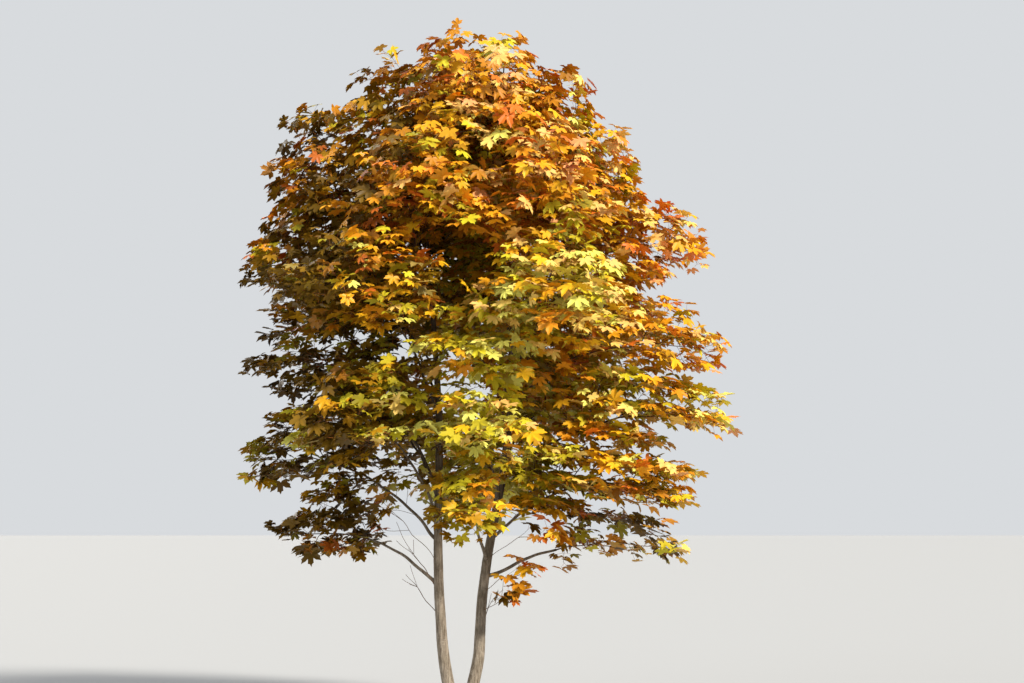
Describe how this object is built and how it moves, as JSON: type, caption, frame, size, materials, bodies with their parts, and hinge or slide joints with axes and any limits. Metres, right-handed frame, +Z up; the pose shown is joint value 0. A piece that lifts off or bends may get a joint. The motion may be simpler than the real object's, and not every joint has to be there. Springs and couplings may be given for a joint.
{
  "type": "maple tree",
  "caption": "Young broadleaf tree in autumn leaf: slender stems from one root crown, rising boughs and tiered masses of orange, gold and yellow-green foliage.",
  "frame": {"origin": "on the ground, at the middle of the flat cut under the root crown", "axes": "+Z up along the tree; +X towards the sunny side, to the right in the picture; +Y away from the camera, towards the back of the tree"},
  "size_m": [4.2752, 3.9042, 5.8356],
  "materials": {
    "bark": "rough grey-brown bark",
    "leaf_orange": "matt autumn leaf, orange",
    "leaf_red_orange": "matt autumn leaf, red-orange",
    "leaf_gold": "matt autumn leaf, gold",
    "leaf_yellow_green": "matt autumn leaf, yellow-green",
    "leaf_olive": "matt autumn leaf, olive-brown"
  },
  "bodies": {
    "root": {"bough_left_arm": "bark", "bough_low_back": "bark", "bough_low_back_left": "bark", "bough_low_back_right": "bark", "bough_low_left": "bark", "bough_low_left_front": "bark", "bough_low_right_tier": "bark", "bough_lowest_left": "bark", "bough_lowest_right": "bark", "bough_middle_back": "bark", "bough_middle_front_right": "bark", "bough_middle_left": "bark", "bough_middle_left_back": "bark", "bough_middle_left_front": "bark", "bough_middle_right_back": "bark", "bough_right_arm": "bark", "bough_right_tier": "bark", "bough_spray_front": "bark", "bough_spray_front_high": "bark", "bough_spray_front_low": "bark", "foliage_left_arm": "leaf_olive", "foliage_low_back": "leaf_yellow_green", "foliage_low_back_left": "leaf_olive", "foliage_low_back_right": "leaf_gold", "foliage_low_left": "leaf_olive", "foliage_low_left_front": "leaf_yellow_green", "foliage_low_right_tier": "leaf_yellow_green", "foliage_lowest_left": "leaf_olive", "foliage_lowest_right": "leaf_yellow_green", "foliage_middle_back": "leaf_gold", "foliage_middle_core": "leaf_gold", "foliage_middle_front_right": "leaf_gold", "foliage_middle_left": "leaf_olive", "foliage_middle_left_back": "leaf_olive", "foliage_middle_left_front": "leaf_gold", "foliage_middle_right_back": "leaf_gold", "foliage_right_arm": "leaf_red_orange", "foliage_right_tier": "leaf_gold", "foliage_right_tip": "leaf_red_orange", "foliage_shoulder_left": "leaf_olive", "foliage_shoulder_right": "leaf_orange", "foliage_spray_front": "leaf_yellow_green", "foliage_spray_front_high": "leaf_yellow_green", "foliage_spray_front_low": "leaf_yellow_green", "foliage_top_back": "leaf_orange", "foliage_top_crest": "leaf_orange", "foliage_top_front": "leaf_orange", "foliage_top_left": "leaf_orange", "foliage_top_right": "leaf_orange", "foliage_top_tip": "leaf_orange", "foliage_upper_back": "leaf_orange", "foliage_upper_back_right": "leaf_orange", "foliage_upper_core": "leaf_orange", "foliage_upper_front": "leaf_orange", "foliage_upper_front_right": "leaf_red_orange", "left_stem": "bark", "right_limb": "bark", "right_stem": "bark", "root_crown": "bark"}
  },
  "joints": []
}
